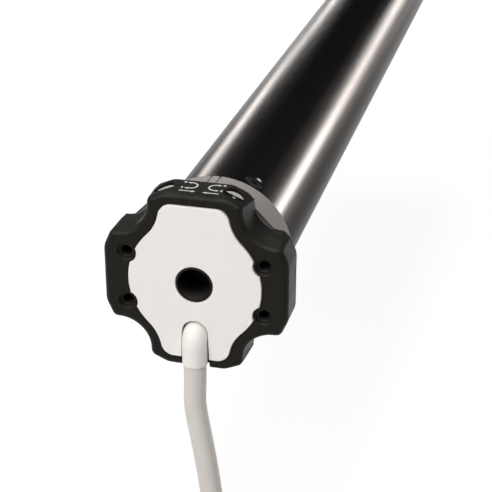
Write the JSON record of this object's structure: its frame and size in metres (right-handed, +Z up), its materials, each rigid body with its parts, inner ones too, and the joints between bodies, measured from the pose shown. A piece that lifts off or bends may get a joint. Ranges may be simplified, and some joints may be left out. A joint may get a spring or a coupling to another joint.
{
  "type": "tubular roller blind motor",
  "caption": "Wired tubular motor for a roller blind: star-shaped head with limit adjusters and elbow cable, free-turning crown, black tube with geared drive and flatted output shaft.",
  "frame": {"origin": "centre of the head's bore at the front of the face plate", "axes": "+Y down the motor's axis from the head to the output shaft, +Z up, away from the cable's outlet"},
  "size_m": [0.1165, 0.4813, 0.2282],
  "materials": {
    "housing_black": "satin moulded",
    "plate_white": "satin moulded",
    "plug_white": "satin moulded",
    "contact_brass": "plated",
    "cable_sheath": "smooth PVC",
    "tie_black": "satin nylon",
    "core_brown": "smooth PVC",
    "core_black": "smooth PVC",
    "core_blue": "smooth PVC",
    "core_earth": "smooth PVC",
    "core_copper": "bare copper",
    "adjuster_grey": "satin moulded",
    "crown_grey": "satin moulded",
    "tube_black": "glossy black coat on steel",
    "screw_black": "blackened steel",
    "limit_nylon": "natural nylon",
    "nut_red": "acetal",
    "switch_black": "moulded",
    "plunger_yellow": "moulded",
    "capacitor_grey": "filled plastic can",
    "sleeve_grey": "insulating card",
    "shield_aluminium": "die cast",
    "bearing_steel": "ground",
    "core_steel": "stacked laminations",
    "winding_copper": "enamelled copper",
    "shaft_steel": "ground",
    "brake_lining": "friction lining",
    "gear_steel": "machined",
    "planet_nylon": "filled nylon",
    "bush_bronze": "sintered bronze",
    "cap_black": "black coated casting"
  },
  "bodies": {
    "head": {"head_housing": "housing_black", "face_plate": "plate_white", "cable_plug": "plug_white", "plug_contacts": "contact_brass", "supply_cable": "cable_sheath", "cable_coil": "cable_sheath", "coil_tie": "tie_black", "wire_brown": "core_brown", "wire_black": "core_black", "wire_blue": "core_blue", "wire_earth": "core_earth", "wire_tips": "core_copper", "motor_tube": "tube_black", "head_screws": "screw_black", "end_screws": "screw_black", "limit_chassis": "limit_nylon", "switch_down": "switch_black", "switch_up": "switch_black", "run_capacitor": "capacitor_grey", "capacitor_sleeve": "sleeve_grey", "front_shield": "shield_aluminium", "rear_shield": "shield_aluminium", "front_bearing": "bearing_steel", "rear_bearing": "bearing_steel", "stator_core": "core_steel", "stator_winding": "winding_copper", "brake_coil": "winding_copper", "brake_spring": "shaft_steel", "brake_plate": "shaft_steel", "ring_gear": "gear_steel", "output_bush": "bush_bronze", "end_cap": "cap_black"},
    "crown": {"limit_crown": "crown_grey"},
    "adjuster_left": {"limit_adjuster_left": "adjuster_grey"},
    "adjuster_right": {"limit_adjuster_right": "adjuster_grey"},
    "spindle_left": {"limit_spindle_left": "limit_nylon"},
    "spindle_right": {"limit_spindle_right": "limit_nylon"},
    "nut_left": {"limit_nut_left": "nut_red"},
    "nut_right": {"limit_nut_right": "nut_red"},
    "plunger_down": {"plunger_down": "plunger_yellow"},
    "plunger_up": {"plunger_up": "plunger_yellow"},
    "armature": {"brake_armature": "shaft_steel"},
    "rotor": {"rotor_core": "core_steel", "rotor_shaft": "shaft_steel", "brake_disc": "brake_lining", "sun_gear": "gear_steel"},
    "carrier_1": {"carrier_1": "gear_steel"},
    "carrier_2": {"carrier_2": "gear_steel"},
    "output": {"output_shaft": "gear_steel", "shaft_clip": "gear_steel"},
    "planet_1a": {"planet_1a": "planet_nylon"},
    "planet_1b": {"planet_1b": "planet_nylon"},
    "planet_1c": {"planet_1c": "planet_nylon"},
    "planet_2a": {"planet_2a": "planet_nylon"},
    "planet_2b": {"planet_2b": "planet_nylon"},
    "planet_2c": {"planet_2c": "planet_nylon"},
    "planet_3a": {"planet_3a": "planet_nylon"},
    "planet_3b": {"planet_3b": "planet_nylon"},
    "planet_3c": {"planet_3c": "planet_nylon"}
  },
  "joints": [
    {"name": "crown_turn", "type": "hinge", "parent": "head", "child": "crown", "pos_m": [0, 0.02, 0], "axis": [0, 1, 0], "range_deg": [-4200, 4200]},
    {"name": "spindle_left_turn", "type": "hinge", "parent": "head", "child": "spindle_left", "pos_m": [-0.01688, 0.06, 0], "axis": [0, 1, 0], "range_deg": [-17500, 17500]},
    {"name": "spindle_right_turn", "type": "hinge", "parent": "head", "child": "spindle_right", "pos_m": [0.01688, 0.06, 0], "axis": [0, 1, 0], "range_deg": [-17500, 17500]},
    {"name": "nut_left_travel", "type": "slide", "parent": "head", "child": "nut_left", "axis": [0, 1, 0], "range_m": [-0.0142, 0.0142]},
    {"name": "nut_right_travel", "type": "slide", "parent": "head", "child": "nut_right", "axis": [0, 1, 0], "range_m": [-0.0142, 0.0142]},
    {"name": "adjuster_left_turn", "type": "hinge", "parent": "head", "child": "adjuster_left", "pos_m": [0, 0.0073, 0], "axis": [-0.3649, 0, 0.9311], "continuous": true},
    {"name": "adjuster_right_turn", "type": "hinge", "parent": "head", "child": "adjuster_right", "pos_m": [0, 0.0073, 0], "axis": [0.3649, 0, 0.9311], "continuous": true},
    {"name": "plunger_down_press", "type": "slide", "parent": "head", "child": "plunger_down", "axis": [0, -1, 0], "range_m": [0, 0.0006], "stiffness_N_per_m": 800, "springref_m": -0.0005},
    {"name": "plunger_up_press", "type": "slide", "parent": "head", "child": "plunger_up", "axis": [0, 1, 0], "range_m": [0, 0.0006], "stiffness_N_per_m": 800, "springref_m": -0.0005},
    {"name": "brake_release", "type": "slide", "parent": "head", "child": "armature", "axis": [0, -1, 0], "range_m": [0, 0.0004], "stiffness_N_per_m": 20000, "springref_m": -0.0004},
    {"name": "rotor_spin", "type": "hinge", "parent": "head", "child": "rotor", "pos_m": [0, 0.255, 0], "axis": [0, 1, 0], "continuous": true},
    {"name": "carrier_1_spin", "type": "hinge", "parent": "head", "child": "carrier_1", "pos_m": [0, 0.3523, 0], "axis": [0, 1, 0], "continuous": true},
    {"name": "carrier_2_spin", "type": "hinge", "parent": "head", "child": "carrier_2", "pos_m": [0, 0.3723, 0], "axis": [0, 1, 0], "continuous": true},
    {"name": "output_spin", "type": "hinge", "parent": "head", "child": "output", "pos_m": [0, 0.3923, 0], "axis": [0, 1, 0], "continuous": true},
    {"name": "planet_1a_spin", "type": "hinge", "parent": "carrier_1", "child": "planet_1a", "pos_m": [0.0108, 0.3523, 0], "axis": [0, 1, 0], "continuous": true},
    {"name": "planet_1b_spin", "type": "hinge", "parent": "carrier_1", "child": "planet_1b", "pos_m": [-0.0054, 0.3523, 0.00936], "axis": [0, 1, 0], "continuous": true},
    {"name": "planet_1c_spin", "type": "hinge", "parent": "carrier_1", "child": "planet_1c", "pos_m": [-0.0054, 0.3523, -0.00936], "axis": [0, 1, 0], "continuous": true},
    {"name": "planet_2a_spin", "type": "hinge", "parent": "carrier_2", "child": "planet_2a", "pos_m": [0.0108, 0.3723, 0], "axis": [0, 1, 0], "continuous": true},
    {"name": "planet_2b_spin", "type": "hinge", "parent": "carrier_2", "child": "planet_2b", "pos_m": [-0.0054, 0.3723, 0.00936], "axis": [0, 1, 0], "continuous": true},
    {"name": "planet_2c_spin", "type": "hinge", "parent": "carrier_2", "child": "planet_2c", "pos_m": [-0.0054, 0.3723, -0.00936], "axis": [0, 1, 0], "continuous": true},
    {"name": "planet_3a_spin", "type": "hinge", "parent": "output", "child": "planet_3a", "pos_m": [0.0108, 0.3923, 0], "axis": [0, 1, 0], "continuous": true},
    {"name": "planet_3b_spin", "type": "hinge", "parent": "output", "child": "planet_3b", "pos_m": [-0.0054, 0.3923, 0.00936], "axis": [0, 1, 0], "continuous": true},
    {"name": "planet_3c_spin", "type": "hinge", "parent": "output", "child": "planet_3c", "pos_m": [-0.0054, 0.3923, -0.00936], "axis": [0, 1, 0], "continuous": true}
  ],
  "couplings": [
    {"joint": "spindle_left_turn", "follows": "crown_turn", "ratio": 4},
    {"joint": "spindle_right_turn", "follows": "crown_turn", "ratio": 4},
    {"joint": "nut_left_travel", "follows": "crown_turn", "m_per_rad": 0.00019099},
    {"joint": "nut_right_travel", "follows": "crown_turn", "m_per_rad": 0.00019099},
    {"joint": "carrier_1_spin", "follows": "rotor_spin", "ratio": 0.1875},
    {"joint": "carrier_2_spin", "follows": "rotor_spin", "ratio": 0.035156},
    {"joint": "output_spin", "follows": "rotor_spin", "ratio": 0.0065918},
    {"joint": "planet_1a_spin", "follows": "rotor_spin", "ratio": -0.4875},
    {"joint": "planet_1b_spin", "follows": "rotor_spin", "ratio": -0.4875},
    {"joint": "planet_1c_spin", "follows": "rotor_spin", "ratio": -0.4875},
    {"joint": "planet_2a_spin", "follows": "rotor_spin", "ratio": -0.091406},
    {"joint": "planet_2b_spin", "follows": "rotor_spin", "ratio": -0.091406},
    {"joint": "planet_2c_spin", "follows": "rotor_spin", "ratio": -0.091406},
    {"joint": "planet_3a_spin", "follows": "rotor_spin", "ratio": -0.017139},
    {"joint": "planet_3b_spin", "follows": "rotor_spin", "ratio": -0.017139},
    {"joint": "planet_3c_spin", "follows": "rotor_spin", "ratio": -0.017139}
  ]
}
